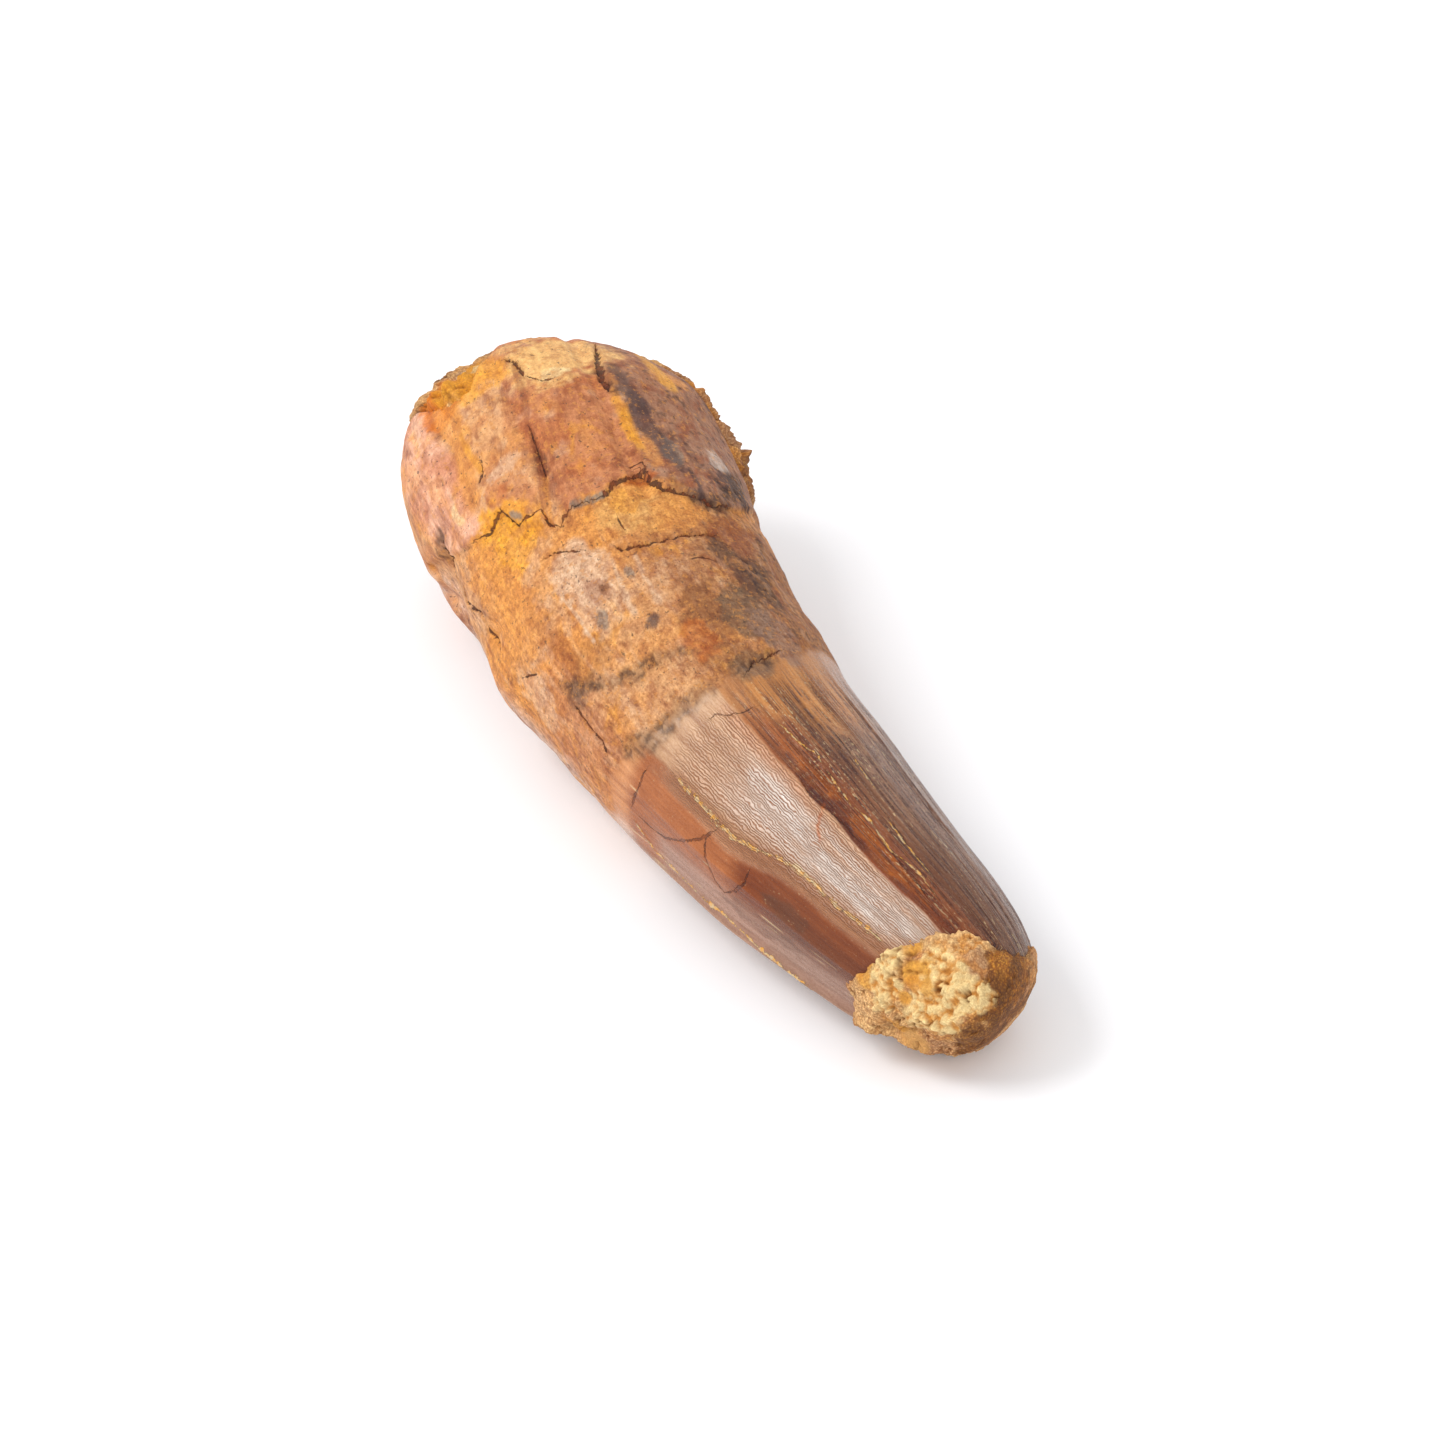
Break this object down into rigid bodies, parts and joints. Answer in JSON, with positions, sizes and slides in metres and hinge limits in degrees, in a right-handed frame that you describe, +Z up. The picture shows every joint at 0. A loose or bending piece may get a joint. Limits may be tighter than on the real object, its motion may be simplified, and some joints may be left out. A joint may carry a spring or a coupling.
{
  "type": "fossil dinosaur tooth",
  "caption": "Stout curved fossil tooth lying on its side, with cracked root plates, a fluted glossy crown and sandstone cemented over both broken ends.",
  "frame": {"origin": "on the ground, under the middle of the fossil's bounding box", "axes": "+X from the broken root to the tip, +Y towards the hollow side of the bend, +Z up"},
  "size_m": [0.1004, 0.0354, 0.0307],
  "materials": {
    "tooth": "cracked matte root, glossy fluted enamel crown",
    "tip_matrix": "rough porous sandstone",
    "root_matrix": "crumbly sandstone crust"
  },
  "bodies": {
    "root": {"tooth": "tooth", "tip_matrix": "tip_matrix", "root_matrix": "root_matrix"}
  },
  "joints": []
}
